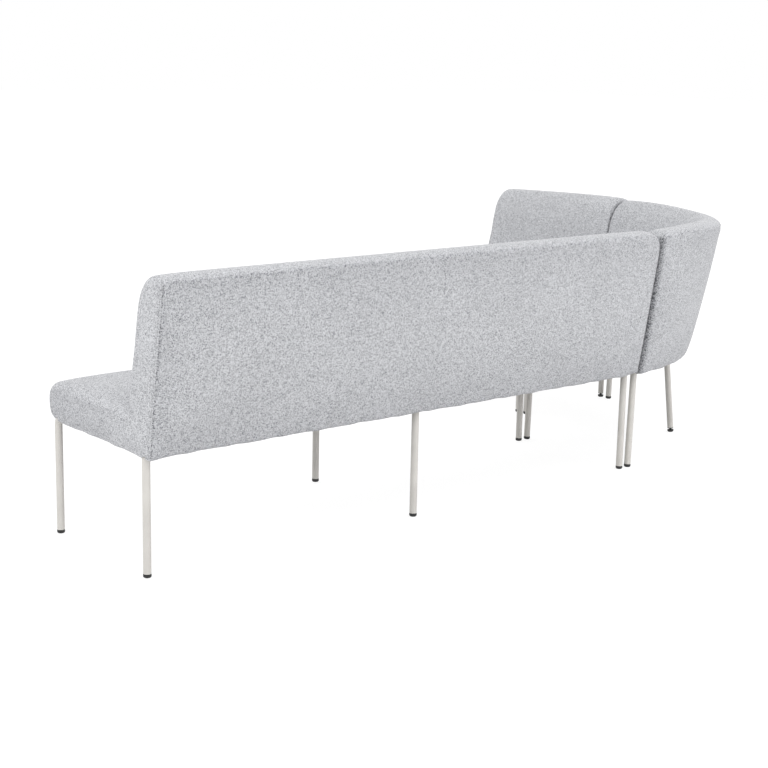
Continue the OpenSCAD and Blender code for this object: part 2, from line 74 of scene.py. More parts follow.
leg_inset, unit_gap, corner_radius, end_straight = 15, 12, 784, 16
corner_x = 1900 - leg_inset + unit_gap
short_x, short_y = corner_x + corner_radius, corner_radius + unit_gap
bend_radius = corner_radius - end_straight
lengths = {LONG: 1900, CORNER: 2 * end_straight + bend_radius * math.pi / 2, SHORT: 675}


def lay(kind, strip):
    """Turns points of a strip (along, forwards, up, in mm) into points in the room, in metres."""
    d, f, z = np.asarray(strip, float).T
    if kind == LONG:
        x, y = d - leg_inset, f
    elif kind == SHORT:
        x, y = short_x - f, short_y + d
    else:
        turn = (d - end_straight) / (lengths[CORNER] - 2 * end_straight)
        angle = np.clip(turn, 0, 1) * math.pi / 2
        before = np.minimum(d - end_straight, 0)
        after = np.maximum(d - lengths[CORNER] + end_straight, 0)
        x = corner_x + end_straight + (bend_radius - f) * np.sin(angle) + before
        y = corner_radius - end_straight - (bend_radius - f) * np.cos(angle) + after
    return np.column_stack([x * MM + origin.x, y * MM + origin.y, z * MM])


print("lengths along the back legs in mm:", {k: round(v) for k, v in lengths.items()})

# %% [markdown]
# ## The camera
#
# The camera is level with a standing person's eye, behind the long unit and far enough away for a
# calm perspective. A 73 mm lens on a 36 mm wide sensor sees the whole row with a white margin.
# Its place is counted from the same foot as everything else.

# %% Place the camera
camera_data = bpy.data.cameras.new("camera")
camera_data.sensor_width = 36
camera_data.lens = 73.01
camera = bpy.data.objects.new("camera", camera_data)
bpy.context.scene.collection.objects.link(camera)
turned = (
    Matrix.Rotation(math.radians(-40.593), 4, "Z")
    @ Matrix.Rotation(math.radians(90 - 12.017), 4, "X")
    @ Matrix.Rotation(math.radians(1.215), 4, "Z")
)
camera.matrix_world = Matrix.Translation((origin.x - 2.0814, origin.y - 3.3729, 1.3694)) @ turned
bpy.context.scene.camera = camera
print("camera at", [round(v, 3) for v in camera.location])

# %% [markdown]
# ## The section of the upholstery
#
# Seen from its end, every unit has the same section: a raked rear face that ends in a sewn edge at
# the top, a soft crest, a backrest that leans back, a crease, a seat that rises a little towards a
# round nose, and a short turned-in hem. A few corner points give that outline. Each long edge is
# cut into short ones and relaxed, as a batten would run through the points, and only the sewn
# edges stay sharp. The points are the CAD model's own, so both agree.

# %% Draw the section from a few points
hem_z, seat_z, top_z = 337, 447, 813
rear_low, rear_high, crease_f, front_f, nose = 48, 117, 66, 501, 42
seam_z, crease_z = top_z - 15, seat_z - 16

rear_rake, rear_bow = rear_high - rear_low, 12
rear_points = [
    (
        -rear_low - rear_rake * share - rear_bow * share * (1 - share),
        hem_z + (seam_z - hem_z) * share,
    )
    for share in (0.14, 0.34, 0.58, 0.82)
]
crest_points = [
    *((-97, 808), (-74.5, 813), (-50.9, 808.8), (-30.9, 799.8)),
    *((-14.9, 786), (-2, 768), (8.1, 745)),
]
back_points = [(11.4, 736), (23.1, 681), (33.5, 615), (48.5, 549.5), (59.5, 491)]
seat_points = [(117, 439.8), (207.5, 446.2), (333, 448.6)]
nose_points = [
    (front_f - nose + nose * math.sin(a), seat_z - nose + nose * math.cos(a))
    for a in np.radians([0, 22.5, 45, 67.5, 90])
]
front_edge = (492, hem_z + 20)
runs = [
    [(-18, hem_z), (-rear_low, hem_z)],
    [(-rear_low, hem_z), *rear_points, (-rear_high, seam_z)],
    [(-rear_high, seam_z), *crest_points, *back_points, (crease_f, crease_z)],
    [(crease_f, crease_z), *seat_points, *nose_points, (front_f - 3, hem_z + 36), front_edge],
    [front_edge, (480, hem_z + 9), (468, hem_z + 5)],
]
point_pitch, battens = 10, 4


def draw_run(points, pitch):
    """A run of the section: its corner points joined by edges, cut at an even pitch and relaxed."""
    bm = bmesh.new()
    verts = [bm.verts.new((0, f, z)) for f, z in points]
    edges = [bm.edges.new(pair) for pair in zip(verts, verts[1:])]
    for edge in edges:
        if edge.calc_length() > 1.5 * pitch:
            cuts = round(edge.calc_length() / pitch) - 1
            bmesh.ops.subdivide_edges(bm, edges=[edge], cuts=cuts)
    inner = [v for v in bm.verts if len(v.link_edges) == 2]
    axes = {"use_axis_x": True, "use_axis_y": True, "use_axis_z": True}
    for _ in range(battens):
        bmesh.ops.smooth_vert(bm, verts=inner, factor=0.5, **axes)
    at = min(bm.verts, key=lambda v: (v.co - Vector((0, *points[0]))).length)
    before, line = None, []
    while at:
        line.append((at.co.y, at.co.z))
        onward = [e.other_vert(at) for e in at.link_edges if e.other_vert(at) is not before]
        before, at = at, onward[0] if onward else None
    bm.free()
    return line


# %% Join the runs and sew the edges' allowances in
section = []
corner_at = [0]
seam_allowance = 3
for run in runs:
    line = [np.array(p) for p in draw_run(run, point_pitch)]
    for at, near in ((0, 1), (-1, -2)):
        if tuple(line[at]) == (-rear_high, seam_z):
            step = line[near] - line[at]
            stitch = line[at] + step * seam_allowance / np.linalg.norm(step)
            line.insert(near if at == 0 else len(line) - 1, stitch)
    section += line[1:] if section else line
    corner_at.append(len(section) - 1)
section = np.array(section)
rear_corner, top_seam, crease, front_tuck = corner_at[1:-1]
steps = np.linalg.norm(np.diff(section, axis=0), axis=1)
cloth_run = np.concatenate([[0], np.cumsum(steps)])
print(len(section), "points; cloth from hem to hem is", round(cloth_run[-1]), "mm")

# %% [markdown]
# ## How a padded strip is shaped
#
# Foam under tight cloth is never flat. Every face swells between its seams, quickly beside the seam
# and then hardly any more, and the seams lie a little sunken. At the ends the cloth rolls over the
# foam's edge: tightly at the back, where it is sewn to the end panel, and in a wide curve over the
# seat and the top corners. The lower edge is stapled by hand, so it hangs a little unevenly. The
# corner unit's rear face pulls in at its middle, where the cloth is drawn round the bend, and its
# top edge is soft, because it has no seam there. Where two backs meet round the corner, they press
# together. Each of these is one small function of the place, with its sizes in mm beside it.

# %% Steps, roundings and swells
def smooth_step(value, low, high):
    """From 0 at the low value to 1 at the high one, with no corner at either."""
    t = np.clip((value - low) / (high - low), 0, 1)
    return t * t * (3 - 2 * t)


def roll(distance, radius):
    """How far a rounding of that radius has fallen, at a distance from its end."""
    left = np.clip(radius - distance, 0, radius)
    return radius - np.sqrt(radius**2 - left**2)


def swelling(distance, margin):
    """From 0 at a seam to 1 well away from it, steepest beside the seam."""
    return 1 - np.exp(-np.clip(distance, 0, None) / margin)


fallen = roll(np.array([0, 3, 6]), 10).round(1)
print("a 10 mm rounding has fallen, 0, 3 and 6 mm from its end:", fallen)

# %% Round the ends, drop the top corners and hang the hem
top_drops = {LONG: (9, 37), CORNER: (26, 20), SHORT: (26, 19)}
rear_roundings = {LONG: 7, CORNER: 15, SHORT: 8}
back_roundings = {(CORNER, "far"): (5, 5, 8), (SHORT, "near"): (7, 6, 8), (SHORT, "far"): (32, 30, 14)}
usual_back, seat_roundings = (10, 11, 11), (24, 30, 20)


def drop_top(kind, d, z):
    """The top corners roll down and take the cloth below with them, and the short unit stands askew."""
    near, far = top_drops[kind]
    fall = roll(d, near) + roll(lengths[kind] - d, far)
    if kind == LONG:
        fall = fall - 2 - 6 * d / lengths[LONG]
    if kind == CORNER:
        fall = fall - 13 * np.exp(-(((d - 230) / 300) ** 2)) + 3 * np.exp(-(((d - 850) / 150) ** 2))
    if kind == SHORT:
        fall = fall - 5 + 14 * d / lengths[SHORT]
    return fall * smooth_step(z, 600, 790)


def hang_hem(kind, d, f, z):
    """The stapled edge hangs unevenly, lowest at the rear of the long unit's outer end."""
    around = d + 0.9 * np.clip(f, 0, None)
    wave = 0.8 * np.sin(around / 17 + 1) + 0.7 * np.sin(around / 41) + 0.6 * np.sin(around / 9.7 + 2)
    if kind == LONG:
        sag = 4 + 4 * np.exp(-((d / 42) ** 2)) - 7 * np.exp(-(((lengths[kind] - d) / 45) ** 2))
        wave = wave + sag * np.interp(f, [0, 60, 200, 330, 440], [1, 0.5, 0.15, -0.15, -0.35])
    if kind == CORNER:
        wave = wave + 2 * np.sin(d / 13) * np.sin(d / 37 + 0.6) + 3
    return wave * (1 - smooth_step(z, hem_z + 4, hem_z + 60))


def round_ends(kind, d, index):
    """How far the cloth has rolled inwards at both ends, at a point of the section."""
    rear = rear_roundings[kind]
    on_back = [top_seam + 4, crease - 20, crease]
    on_seat = [crease + 5, crease + 30, front_tuck]
    rolled = 0
    for side, distance in (("near", d), ("far", lengths[kind] - d)):
        radii = [rear, rear, *back_roundings.get((kind, side), usual_back), *seat_roundings]
        places = [rear_corner, top_seam - 6, *on_back, *on_seat]
        rolled = rolled + roll(distance, np.interp(index, places, radii))
    return rolled


for kind in lengths:
    print(kind, "top corners drop", drop_top(kind, np.array([0, lengths[kind]]), top_z).round(1), "mm")

# %% Which way the cloth faces
soft_section = section.copy()
for _ in range(14):
    middle = soft_section[top_seam - 7 : top_seam + 8]
    middle[1:-1] = (middle[:-2] + 2 * middle[1:-1] + middle[2:]) / 4
tangent = np.gradient(section, axis=0)
tangent[top_seam] = tangent[top_seam - 1] + tangent[top_seam + 1]
tangent /= np.linalg.norm(tangent, axis=1)[:, None]
outward = np.column_stack([-tangent[:, 1], tangent[:, 0]])
outward[: rear_corner + 1] = (-1, 0)
outward[:rear_corner] = (0, 0)
outward[front_tuck:] = (1, 0)
print("normal of the rear face:", outward[(rear_corner + top_seam) // 2].round(2))

# %% Where the seams are, and where shade is painted into the cloth
# widths in mm: a sewn end seam, painted shade in the gaps on the corner unit and on the short unit, and
# the middle joint
end_seam, corner_gap_shade, short_gap_shade, panel_joint = 4, 13, 4, 3


def seams_and_gap_shade(kind, d, index):
    """1 on a sewn seam and 0 a few mm away: at the ends, along the top and mid-panel; on the corner and
    short units also painted shade at the edge in the gap beside the next unit.
    """
    end = np.minimum(d, lengths[kind] - d)
    nearness = np.clip(1 - end / end_seam, 0, 1) * (index <= top_seam + 2)
    if kind == CORNER:
        # painted shade: the corner unit's near edge, in the gap beside the long unit's end
        beside = np.clip(1.5 - d / corner_gap_shade, 0, 1) * (index < top_seam + 3)
        nearness = np.maximum(nearness, beside)
    if kind == SHORT:
        # painted shade: the short unit's near end, in the gap beside the corner unit
        beside = np.clip(1.3 - d / short_gap_shade, 0, 1)
        nearness = np.maximum(nearness, beside * (index > top_seam + 4) * (index < crease))
    if kind == LONG:
        along_top = (index == top_seam) * (1 - smooth_step(d, 500, 1500))
        joint = np.clip(1 - abs(d - lengths[LONG] / 2) / panel_joint, 0, 1)
        joint = joint * (index > rear_corner) * (index < top_seam)
        nearness = np.maximum(nearness, np.maximum(0.2 * along_top, 0.2 * joint))
    return nearness


def painted_shade_amount(kind, d, index):
    """Painted shade: 1 at the top and foot of the rear face, at its near end and on the seat's ends,
    down to 0 mid-face.
    """
    rear_run = cloth_run[top_seam] - cloth_run[rear_corner]
    share = (cloth_run[index] - cloth_run[rear_corner]) / rear_run
    # painted shade, darkest where the rear face turns at its top and at its foot
    painted_shade = 1 - np.sin(math.pi * np.clip(share, 0, 1)) ** 0.8
    beyond = np.clip(cloth_run[index] - cloth_run[top_seam], 0, None)
    painted_shade = painted_shade * np.exp(-beyond / 4)
    # painted shade at the rear face's near end, deepest on the corner unit beside the gap
    near = {LONG: 0.8, CORNER: 1.0, SHORT: 0.5}[kind] * np.exp(-d / 60) * (index < top_seam)
    # painted shade on the seat within a few mm of each end
    painted_seat_end_shade = 0.9 * np.exp(-np.minimum(d, lengths[kind] - d) / 5) * (index > crease + 6)
    return np.maximum(np.maximum(painted_shade, near), painted_seat_end_shade)


ends = np.array([0.0, lengths[LONG] / 2])
print("long unit's seam nearness, end and middle:", seams_and_gap_shade(LONG, ends, top_seam - 5))

# %% Shape the strip
swell_back, swell_seat, seam_depth = 4, 8, 1.2
corner_draw, shoulder_draw, hem_draw, crest_sag = 28, 9, 2, 9
leans = {CORNER: 5, SHORT: -2.5}


def draw_in(d, z):
    """How far the corner's rear cloth is drawn forwards round the bend, at a height."""
    pull = corner_draw * (1 - 0.8 * (z - hem_z) / (seam_z - hem_z)) + shoulder_draw
    pull = pull + hem_draw * (1 - smooth_step(z, hem_z - 5, hem_z + 45))
    return pull * np.sin(math.pi * d / lengths[CORNER])


def lean_on_neighbour(kind, d, index):
    """Two backs press together where they meet: how far towards the other, and forwards."""
    on_front = smooth_step(index, top_seam + 2, top_seam + 12)
    on_front = on_front * (1 - smooth_step(index, crease - 16, crease - 4))
    near = lengths[CORNER] - d if kind == CORNER else d
    along = leans[kind] * (1 - smooth_step(near, 0, 60))
    return along * on_front, 9 * (1 - smooth_step(near, 40, 260)) * on_front


def shape(kind, d, index):
    """Where a point of the cloth goes: d along the unit, at that point of the section."""
    length = lengths[kind]
    end = np.minimum(d, length - d)
    index = np.asarray(index)
    run = cloth_run[index]
    beside = np.minimum(abs(run - cloth_run[rear_corner]), abs(run - cloth_run[top_seam]))
    on_rear = (index > rear_corner) & (index < top_seam)
    on_back = (index >= top_seam) & (index < crease)
    on_seat = (index > crease) & (index < front_tuck)
    above, ahead = cloth_run[crease] - run, run - cloth_run[crease]
    out = np.where(on_rear, swell_back * swelling(beside, 35) * swelling(end, 45), 0)
    out = out + np.where(on_back, swell_back * swelling(end, 45) * swelling(above, 60), 0)
    out = out + np.where(on_seat, swell_seat * swelling(end, 60) * swelling(ahead, 60), 0)
    out = out - round_ends(kind, d, index) - seam_depth * seams_and_gap_shade(kind, d, index)
    softness = {LONG: 0.7 * smooth_step(d, 700, 1700), CORNER: 1.0, SHORT: 0.8}[kind]
    softness = softness * np.ones(len(d))
    place = section[index] + (soft_section - section)[index] * softness[:, None]
    place = place + outward[index] * out[:, None]
    f, z = place[:, 0], place[:, 1]
    if kind == CORNER:
        f = f + draw_in(d, z) * np.interp(index, [top_seam - 6, top_seam + 10], [1, 0])
        at_seam = np.exp(-(((index - top_seam) / 4.0) ** 2))
        z = z - crest_sag * np.sin(math.pi * d / length) * at_seam
    z = z - drop_top(kind, d, z)
    z = z - hang_hem(kind, d, f, z)
    if kind != LONG:
        along, forwards = lean_on_neighbour(kind, d, index)
        d, f = d + along, f + forwards
    return np.column_stack([d, f, z])


for kind, length in lengths.items():
    middle = shape(kind, np.array([length / 2]), np.array([top_seam]))[0]
    print(kind, "top seam at mid-length, in mm:", middle.round(1).tolist())

# %% [markdown]
# ## Sew the cover of one unit
#
# The section is laid at one end and extruded along the strip, one row of cloth at a time, with
# close rows at the rounded ends. The end panels are sewn in: one face fills each end, an inset
# makes its seam allowance, and bisecting planes cut the rest into small squares that can bulge.
# The underside stays open, as on the real cover, which is only turned in and stapled there.

# %% Lay out the cloth
square_pitch = 14


def rows_of(kind, pitch=square_pitch):
    """Distances of the rows of cloth along a unit, close together at its ends."""
    near = [0, 1.2, 3, 6, 10, 15, 21, 28, 37]
    length = lengths[kind]
    count = 2 * round((length / 2 - near[-1]) / pitch)
    middle = list(np.linspace(near[-1], length - near[-1], count + 1)[1:-1])
    if kind == LONG:
        middle += [length / 2 - seam_allowance, length / 2 + seam_allowance]
    return np.array([*near, *sorted(middle), *[length - n for n in near[::-1]]])


def cloth_across(kind, rows):
    """How much cloth lies between the middle of a unit and each row, for each point of the section."""
    places = np.array([shape(kind, np.full(len(section), at), np.arange(len(section))) for at in rows])
    used = np.linalg.norm(np.diff(places, axis=0), axis=2)
    along = np.concatenate([np.zeros((1, len(section))), np.cumsum(used, axis=0)])
    return along - along[len(rows) // 2]


print("rows of cloth:", {kind: len(rows_of(kind)) for kind in lengths})


# %% Cut an end panel into squares
def cut_squares(bm, face, pitch):
    """Cuts a flat face into squares with bisecting planes."""
    faces = [face]
    for axis in (1, 2):
        values = [v.co[axis] for f in faces for v in f.verts]
        low, high = min(values), max(values)
        for at in np.arange(low + pitch, high - pitch / 3, pitch):
            edges = dict.fromkeys(e for f in faces for e in f.edges)
            verts = dict.fromkeys(v for f in faces for v in f.verts)
            geometry = [*faces, *edges, *verts]
            point, normal = [0, 0, 0], [0, 0, 0]
            point[axis], normal[axis] = at, 1
            cut = bmesh.ops.bisect_plane(bm, geom=geometry, dist=0.2, plane_co=point, plane_no=normal)
            faces = [g for g in cut["geom"] if isinstance(g, bmesh.types.BMFace)]
    return faces


def shape_hem(kind, at, hem):
    """The lower edge of an end panel, at those places forwards from the back legs."""
    d, z = np.full(len(hem), at), np.full(len(hem), float(hem_z))
    return np.column_stack([d, hem, z - hang_hem(kind, d, hem, z)])


print("squares of an end panel are", square_pitch, "mm wide")

# %% Sew in an end panel
panel_front, panel_points, panel_allowances = 438, 30, (2, 6)


def close_end(bm, kind, row, weave, held, marks):
    """Sews in the end panel: down the section's end, back along the hem, and squares inside."""
    at = row[0].co.x
    hem = np.linspace(panel_front, 0, panel_points)
    low = [bm.verts.new(p) for p in shape_hem(kind, at, hem)]
    panel = bm.faces.new([*row, *low])
    panel.normal_update()
    for vert in low:
        vert[held] = 1
    before, sewn = set(bm.faces), set(bm.verts)
    for allowance in panel_allowances:
        bmesh.ops.inset_region(bm, faces=[panel], thickness=allowance)
    ring = [f for f in bm.faces if f not in before]
    squares = cut_squares(bm, panel, square_pitch)
    border = np.array([v.co for v in [*row, *low]])
    inner = list({v for f in squares for v in f.verts})
    outer_end = (kind == LONG and at < 1) or (kind == SHORT and at > 1)
    seam, painted_shade = marks
    # the end panel gets no seam mark, and painted shade that deepens towards its front
    for vert in {*(set(bm.verts) - sewn), *low}:
        vert[seam], vert[painted_shade] = 0, 0.9 * float(smooth_step(vert.co.y, 0, 330))
    for vert in inner:
        if not outer_end:
            vert[held] = 1
        elif kind == LONG:
            beside = np.linalg.norm(border - vert.co, axis=1).min()
            bulge = 5 + 6 * np.sin(math.pi * (vert.co.y + 40) / 540)
            vert.co.x -= float(bulge * swelling(beside - 8, 32))
    for face in [*ring, *squares]:
        for loop in face.loops:
            loop[weave].uv = (loop.vert.co.y * MM, loop.vert.co.z * MM + 0.5)


low_edge = shape_hem(LONG, 0, np.linspace(panel_front, 0, panel_points))
print("an end panel's lower edge hangs at", low_edge[:, 2].min().round(1), "mm at its lowest")


# %% Sew one cover
def sew_cover(kind):
    """The flat-sewn cover of a unit, still in its strip, with its weave map and its held seams."""
    bm = bmesh.new()
    rows = rows_of(kind)
    weave = bm.loops.layers.uv.new("weave")
    held = bm.verts.layers.float.new("held")
    # the seams, and painted shade in the gaps between units
    seam = bm.verts.layers.float.new("seam")
    # painted shade on the cloth, darker where the light falls off
    painted_shade = bm.verts.layers.float.new("painted_shade")
    first = [bm.verts.new((rows[0], f, z)) for f, z in section]
    edges = [bm.edges.new(pair) for pair in zip(first, first[1:])]
    for near, far in zip(rows, rows[1:]):
        made = bmesh.ops.extrude_edge_only(bm, edges=edges)["geom"]
        verts = {g for g in made if isinstance(g, bmesh.types.BMVert)}
        bmesh.ops.translate(bm, verts=list(verts), vec=(far - near, 0, 0))
        edges = [g for g in made if isinstance(g, bmesh.types.BMEdge) and set(g.verts) <= verts]
    verts = list(bm.verts)
    flat = np.array([v.co for v in verts])
    d = flat[:, 0]
    index = ((flat[:, None, 1:] - section[None]) ** 2).sum(2).argmin(1)
    for vert, i in zip(verts, index):
        vert.index = i
        vert[held] = i in corner_at
    # each point's seam mark and its painted shade
    for vert, near, shade_level in zip(verts, seams_and_gap_shade(kind, d, index), painted_shade_amount(kind, d, index)):
        vert[seam], vert[painted_shade] = near, shade_level
    for vert, place in zip(verts, shape(kind, d, index)):
        vert.co = place
    row = abs(rows[None] - d[:, None]).argmin(1)
    woven = np.column_stack([cloth_across(kind, rows)[row, index], cloth_run[index]]) * MM
    on_cloth = dict(zip(verts, woven))
    for face in bm.faces:
        for loop in face.loops:
            loop[weave].uv = on_cloth[loop.vert]
    for end in (rows[0], rows[-1]):
        row = [v for v, at in zip(verts, d) if abs(at - end) < 0.1]
        close_end(bm, kind, sorted(row, key=lambda v: v.index), weave, held, (seam, painted_shade))
    bmesh.ops.remove_doubles(bm, verts=bm.verts, dist=0.01)
    bmesh.ops.recalc_face_normals(bm, faces=bm.faces)
    return bm


# %% [markdown]
# ## Let the foam push against the cloth
#
# A short cloth simulation gives the cover its tightness: air pressure stands for the foam, the
# seams, the crease and the stapled hem are held, and everything between them swells a little. No
# point may move more than a few millimetres, because firm seating foam hardly gives. The result is
# written back into the mesh, so nothing is left to simulate. The corner's cloth is drawn so tight
# round the bend that it keeps its sewn form and isn't simulated.

# %% Simulate one cover
sim_frames = 20


def inflate(piece, pressure=0.3, most=5.0):
    """Swells a cover between its held seams, outwards only, by at most that many millimetres."""
    start = np.empty(len(piece.data.vertices) * 3)
    piece.data.vertices.foreach_get("co", start)
    start = start.reshape(-1, 3)
    group = piece.vertex_groups.new(name="held")
    held = np.empty(len(start), np.float32)
    piece.data.attributes["held"].data.foreach_get("value", held)
    group.add([int(i) for i in np.flatnonzero(held > 0.5)], 1.0, "REPLACE")
    cloth = piece.modifiers.new("cloth", "CLOTH")
    settings = cloth.settings
    settings.quality = 4
    settings.mass = 0.3
    settings.tension_stiffness = settings.compression_stiffness = 20
    settings.shear_stiffness = 8
    settings.bending_stiffness = 1
    settings.use_pressure = True
    settings.uniform_pressure_force = pressure
    settings.vertex_group_mass = group.name
    settings.effector_weights.gravity = 0
    cloth.collision_settings.use_collision = False
    scene = bpy.context.scene
    for step in range(1, sim_frames + 1):
        scene.frame_set(step)
    swollen = piece.evaluated_get(bpy.context.evaluated_depsgraph_get()).to_mesh()
    end = np.empty(len(start) * 3)
    swollen.vertices.foreach_get("co", end)
    end = end.reshape(-1, 3)
    piece.modifiers.remove(cloth)
    scene.frame_set(1)
    normals = np.empty(len(start) * 3)
    piece.data.vertices.foreach_get("normal", normals)
    normals = normals.reshape(-1, 3)
    move = end - start
    move += normals * np.clip(-(move * normals).sum(1), 0, None)[:, None]
    size = np.linalg.norm(move, axis=1)
    print(f"{piece.name}: swelling, mean {size.mean() * 1000:.1f} mm, most {size.max() * 1000:.1f} mm")
    limit = most * MM
    move *= np.where(size > 1e-9, limit * np.tanh(size / limit) / np.maximum(size, 1e-9), 1)[:, None]
    piece.data.vertices.foreach_set("co", (start + move).ravel())
    piece.data.update()


# %% Make the three covers
def new_piece(name, bm):
    """Turns a bmesh into an object of the scene, smooth shaded."""
    data = bpy.data.meshes.new(name)
    bm.to_mesh(data)
    bm.free()
    for polygon in data.polygons:
        polygon.use_smooth = True
    piece = bpy.data.objects.new(name, data)
    bpy.context.scene.collection.objects.link(piece)
    return piece


covers = {}
for kind in (LONG, CORNER, SHORT):
    bm = sew_cover(kind)
    for vert, place in zip(bm.verts, lay(kind, [v.co for v in bm.verts])):
        vert.co = place
    piece = new_piece(f"{kind}_upholstery", bm)
    if kind != CORNER:
        inflate(piece)
    shell = piece.modifiers.new("cloth thickness", "SOLIDIFY")
    shell.thickness, shell.offset = 2 * MM, -1
    round_off = piece.modifiers.new("round off", "SUBSURF")
    round_off.levels = round_off.render_levels = 1
    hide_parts(f"{kind}_cover")
    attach(piece, "bench")
    covers[kind] = piece
    print(piece.name, len(piece.data.polygons), "faces")

# %% [markdown]
# ## Foam pads inside the covers
#
# The CAD foams already fit round the boards and ribs, so each pad starts as a copy of its node. The
# copy is merged, because CAD meshes are loose triangles, and cut across every 30 mm, so that it can
# follow a bend. Real foam gives way where the cloth is tight. So the pad is laid back in its strip,
# where the section is known, and its skin moves a few mm inside the cloth: at the rear, at the front
# of the back, on the seat, under the front edge and at the rolled ends.

# %% Find a point's place in the strip
def strip_place(kind, points):
    """The way back: from points in the room, in metres, to (along, forwards, up) in mm."""
    x, y, z = (np.asarray(points, float) - np.array([origin.x, origin.y, 0])).T / MM
    if kind == LONG:
        return np.column_stack([x + leg_inset, y, z])
    if kind == SHORT:
        return np.column_stack([y - short_y, short_x - x, z])
    dx, dy = x - corner_x - end_straight, corner_radius - end_straight - y
    angle = np.arctan2(np.maximum(dx, 0), np.maximum(dy, 0))
    bend = lengths[CORNER] - 2 * end_straight
    d = end_straight + angle / (math.pi / 2) * bend + np.minimum(dx, 0) - np.minimum(dy, 0)
    reach = np.where(dx < 0, dy, np.where(dy < 0, dx, np.hypot(dx, dy)))
    return np.column_stack([d, bend_radius - reach, z])


there_and_back = strip_place(CORNER, lay(CORNER, [(400, 100, 450)]))[0]
print("a point laid round the corner and back:", there_and_back.round(3).tolist())

# %% Keep the foam inside the cloth
skin_depth, rear_gap, back_gap, seat_gap = 15, 5, 6, 5


def tuck_inside(kind, part, strip):
    """Moves the skin of a pad, given in its strip, to its place inside the shaped cloth."""
    apart = ((strip[:, None, 1:] - section[None]) ** 2).sum(2)
    skin, on_skin = apart.argmin(1), apart.min(1) < skin_depth**2
    rolled = round_ends(kind, np.clip(strip[:, 0], 0, lengths[kind]), skin) * on_skin
    strip[:, 1:] -= outward[skin] * np.clip(rolled - 3, 0, None)[:, None]
    under_front = smooth_step(strip[:, 1], 440, 485) * (1 - smooth_step(strip[:, 2], 350, 392))
    strip[:, 1] -= 9 * under_front
    rear = section[rear_corner : top_seam + 1]
    behind = np.interp(strip[:, 2], rear[:, 1], rear[:, 0]) + rear_gap
    if kind == CORNER:
        behind += draw_in(np.clip(strip[:, 0], 0, lengths[CORNER]), strip[:, 2])
    strip[:, 1] = np.maximum(strip[:, 1], behind)
    if part == "back_foam":
        front = section[top_seam + 12 : crease + 1][::-1]
        ahead = np.interp(strip[:, 2], front[:, 1], front[:, 0]) - back_gap
        strip[:, 1] = np.minimum(strip[:, 1], ahead)
    else:
        seat = section[crease : crease + 30]
        below = np.interp(strip[:, 1], seat[:, 0], seat[:, 1]) - seat_gap
        strip[:, 2] = np.minimum(strip[:, 2], below)
    strip[:, 2] -= drop_top(kind, strip[:, 0], strip[:, 2])
    if kind == CORNER:
        sagging = smooth_step(strip[:, 2], 740, 800) * np.sin(math.pi * strip[:, 0] / lengths[kind])
        strip[:, 2] -= crest_sag * sagging
    return strip


# %% Copy and soften the foam pads
slice_pitch, skin_inset, edge_inset, end_inset = 30, 2.5, 5, 4
pads = []
for kind in (LONG, CORNER, SHORT):
    for part in ("seat_foam", "back_foam"):
        bm = bmesh.new()
        bm.from_mesh(frame["nodes"][f"{kind}_{part}"].data)
        bmesh.ops.remove_doubles(bm, verts=bm.verts, dist=0.05 * MM)
        for vert, place in zip(bm.verts, strip_place(kind, [v.co for v in bm.verts])):
            vert.co = place
        for at in np.arange(slice_pitch, lengths[kind], slice_pitch):
            everything = [*bm.verts, *bm.edges, *bm.faces]
            plane = {"plane_co": (at, 0, 0), "plane_no": (1, 0, 0)}
            bmesh.ops.bisect_plane(bm, geom=everything, dist=0.01, **plane)
        bm.normal_update()
        for vert in bm.verts:
            d, f, z = vert.co
            if z > 365:
                on_edge = smooth_step(z, 760, 790) * (1 - smooth_step(f, -100, -80))
                at_end = 1 - smooth_step(min(d, lengths[kind] - d), 8, 30)
                inset = skin_inset + edge_inset * float(on_edge) + end_inset * float(at_end)
                vert.co -= vert.normal * inset
        strip = tuck_inside(kind, part, np.array([v.co for v in bm.verts]))
        for vert, place in zip(bm.verts, lay(kind, strip)):
            vert.co = place
        pad = new_piece(f"{kind}_{part}_pad", bm)
        pad.data.shade_flat()
        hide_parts(f"{kind}_{part}")
        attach(pad, "bench")
        pads.append(pad)
print("foam pads:", len(pads))

# %% [markdown]
# ## Two helpers for the finishes
#
# Colours are written as the hex values a paint or cloth card would give, and a shader wants them
# linear. One function adds a node to a material with its settings and its links.

# %% Colour and node helpers
def colour(code):
    """An sRGB hex colour as linear numbers."""
    parts = [int(code[i : i + 2], 16) / 255 for i in (1, 3, 5)]
    return tuple(c / 12.92 if c <= 0.04045 else ((c + 0.055) / 1.055) ** 2.4 for c in parts) + (1,)


def add(tree, kind, inputs=None, stops=(), **settings):
    """Adds a node, sets its properties, and fills its inputs with values or other nodes' outputs."""
    node = tree.nodes.new(kind)
    for name, value in settings.items():
        setattr(node, name, value)
    for name, value in (inputs or {}).items():
        if isinstance(value, bpy.types.NodeSocket):
            tree.links.new(value, node.inputs[name])
        else:
            node.inputs[name].default_value = value
    for number, (position, tone) in enumerate(stops):
        elements = node.color_ramp.elements
        element = elements[number] if number < len(elements) else elements.new(position)
        element.position, element.color = position, tone
    return node


def new_finish(name, **shader_inputs):
    """A new material with a plain Principled shader, ready for its pattern."""
    material = bpy.data.materials.new(name)
    material.use_nodes = True
    tree = material.node_tree
    shader = tree.nodes["Principled BSDF"]
    for socket, value in shader_inputs.items():
        shader.inputs[socket.replace("_", " ")].default_value = value
    return material, tree, shader


# %% [markdown]
# ## Wool cloth
#
# The covers are a woven wool melange: every yarn is spun from pale and darker grey fleece, so each
# short float of yarn that shows on the face has a grey of its own, mostly light ones with some dark
# flecks among them. A float is about 2.7 mm long and 1.3 mm wide, and lies along the warp in one place
# and along the weft in the next. Voronoi cells draw that well, because one cell has one tone, as one
# float has. The weave map is in metres of cloth, so the grain follows the cloth round the corner and
# over the crest. Wool has hardly any gloss, but its loose fibres catch light at the edges of the
# form, and the sheen gives that.

